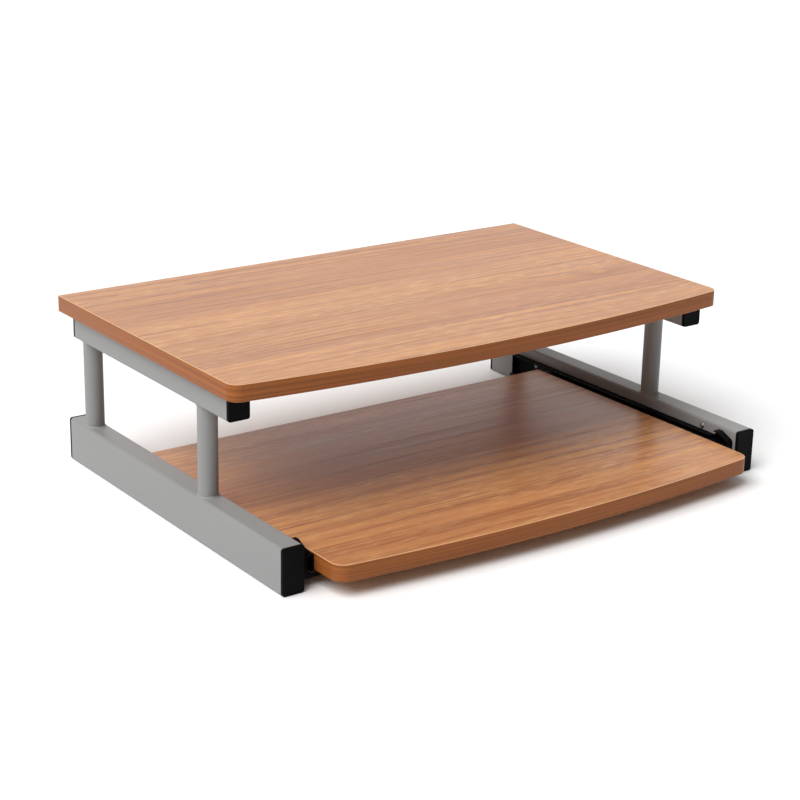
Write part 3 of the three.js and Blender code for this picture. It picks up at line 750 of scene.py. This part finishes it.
for board, body in (("top_board", "frame"), ("keyboard_tray", "tray")):
    low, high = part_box(f"{board}_edge_band")
    bottom = low.z * 1000
    top = high.z * 1000
    corner = BOARD_CORNERS[board]
    edge = BAND_THICKNESS + GLUE_LINE
    profile = [(edge + FACE_CHAMFER, bottom), (edge, bottom + FACE_CHAMFER),
               (edge, top - FACE_CHAMFER), (edge + FACE_CHAMFER, top)]
    rings = [board_ring(low, high, corner, inset, level) for inset, level in profile]
    panel = skinned(f"{board}_faced_panel", rings)
    fit(panel, laminate, body, board)
    lower = []
    for step in range(BAND_ARRIS_STEPS + 1):
        turn = math.pi / 2 * (1 - step / BAND_ARRIS_STEPS)
        lower.append((BAND_ARRIS * (1 - math.cos(turn)), BAND_ARRIS * (1 - math.sin(turn))))
    profile = [(inset, bottom + rise) for inset, rise in lower]
    profile += [(inset, top - rise) for inset, rise in reversed(lower)]
    profile += [(BAND_THICKNESS, top), (BAND_THICKNESS, bottom)]
    rings = [board_ring(low, high, corner, inset, level) for inset, level in profile]
    band = skinned(f"{board}_trimmed_band", rings, ring_to_ring=True)
    fit(band, edge_band, body, f"{board}_edge_band")


# Studio. A pale matt floor, a dim room that is brighter overhead, with a white wall behind
# the board on the right, and one wide soft light from the upper left.

# Matt white floor paint: nearly white all over, with broad clouds that are barely there.
# The floor reaches FLOOR_HALF metres each way, past the horizon of any view.
FLOOR_HALF = 40.0
FLOOR_DROP = 0.2
FLOOR_WHITE = "#f4f4f4"
FLOOR_WHITE_CLEAN = "#f8f8f8"
FLOOR_CLOUD = 400
floor_paint, tree, place = new_finish("matt_white_floor")
white = add_node(tree, "ShaderNodeMix", {"data_type": "RGBA", 6: linear(FLOOR_WHITE),
                                         7: linear(FLOOR_WHITE_CLEAN)},
                 {0: patches(tree, place, FLOOR_CLOUD, 2.0)})
paint = add_node(tree, "ShaderNodeBsdfPrincipled", {"Roughness": 0.9, "Specular IOR Level": 0.05},
                 {"Base Color": white.outputs[2]})
add_node(tree, "ShaderNodeOutputMaterial", (), {"Surface": paint.outputs[0]})
floor_mesh = bpy.data.meshes.new("floor")
corners = [(x * FLOOR_HALF, y * FLOOR_HALF, 0) for x, y in ((-1, -1), (1, -1), (1, 1), (-1, 1))]
floor_mesh.from_pydata(corners, [], [(0, 1, 2, 3)])
floor = bpy.data.objects.new("floor", floor_mesh)
floor.data.materials.append(floor_paint)
floor.location.z = -mm(FLOOR_DROP)
bpy.context.scene.collection.objects.link(floor)

# Each glow of the room has the direction it is brightest in, the cosines from that direction
# at which it starts and is full, and its strength.
ROOM_GLOWS = (((-0.35, 0.2, 1.0), -0.2, 1.0, 0.58), ((0.56, 0.746, 0.36), 0.72, 0.95, 0.85))
room = bpy.data.worlds.new("white_room")
room.use_nodes = True
tree = room.node_tree
tree.nodes.clear()
outwards = add_node(tree, "ShaderNodeTexCoord").outputs["Generated"]
glows = []
for direction, start, full, strength in ROOM_GLOWS:
    towards = add_node(tree, "ShaderNodeVectorMath",
                       {"operation": "DOT_PRODUCT", 1: Vector(direction).normalized()}, {0: outwards})
    glow = add_node(tree, "ShaderNodeMapRange", {"From Min": start, "From Max": full,
                                                 "To Max": strength},
                    {"Value": towards.outputs["Value"]})
    glows.append(glow.outputs[0])
glow = add_node(tree, "ShaderNodeMath", {"operation": "ADD"}, {0: glows[0], 1: glows[1]})
sky = add_node(tree, "ShaderNodeBackground", {"Color": (1, 1, 1, 1)}, {"Strength": glow.outputs[0]})
add_node(tree, "ShaderNodeOutputWorld", (), {"Surface": sky.outputs[0]})
bpy.context.scene.world = room

KEY_FROM = (-0.75, -0.1, 1.0)
KEY_SPREAD = 50
KEY_POWER = 3.1
key_light = bpy.data.lights.new("key_light", "SUN")
key_light.angle = math.radians(KEY_SPREAD)
key_light.energy = KEY_POWER
key_stand = bpy.data.objects.new("key_light", key_light)
key_stand.rotation_euler = (-Vector(KEY_FROM)).to_track_quat("-Z", "Y").to_euler()
bpy.context.scene.collection.objects.link(key_stand)

# Camera. It stands in front and to the left, a little above the board, and leans slightly.
# Its place is in metres and its angles are turned to radians.
CAMERA_PLACE = (-1.2271, -1.6354, 0.7880)
CAMERA_AZIMUTH = math.radians(-36.07)
CAMERA_ELEVATION = math.radians(19.0)
CAMERA_ROLL = math.radians(1.196)
CAMERA_LENS = 86.70
CAMERA_SENSOR = 36.0
backward = Vector((math.sin(CAMERA_AZIMUTH) * math.cos(CAMERA_ELEVATION),
                   -math.cos(CAMERA_AZIMUTH) * math.cos(CAMERA_ELEVATION),
                   math.sin(CAMERA_ELEVATION)))
level_right = Vector((math.cos(CAMERA_AZIMUTH), math.sin(CAMERA_AZIMUTH), 0))
level_up = backward.cross(level_right)
right = level_right * math.cos(CAMERA_ROLL) + level_up * math.sin(CAMERA_ROLL)
up = level_up * math.cos(CAMERA_ROLL) - level_right * math.sin(CAMERA_ROLL)
camera_data = bpy.data.cameras.new("camera")
camera_data.lens = CAMERA_LENS
camera_data.sensor_width = CAMERA_SENSOR
camera = bpy.data.objects.new("camera", camera_data)
turn_matrix = Matrix((right, up, backward)).transposed().to_4x4()
camera.matrix_world = Matrix.Translation(CAMERA_PLACE) @ turn_matrix
bpy.context.scene.collection.objects.link(camera)
bpy.context.scene.camera = camera
bpy.context.scene.view_settings.view_transform = "Standard"

bpy.context.view_layer.update()
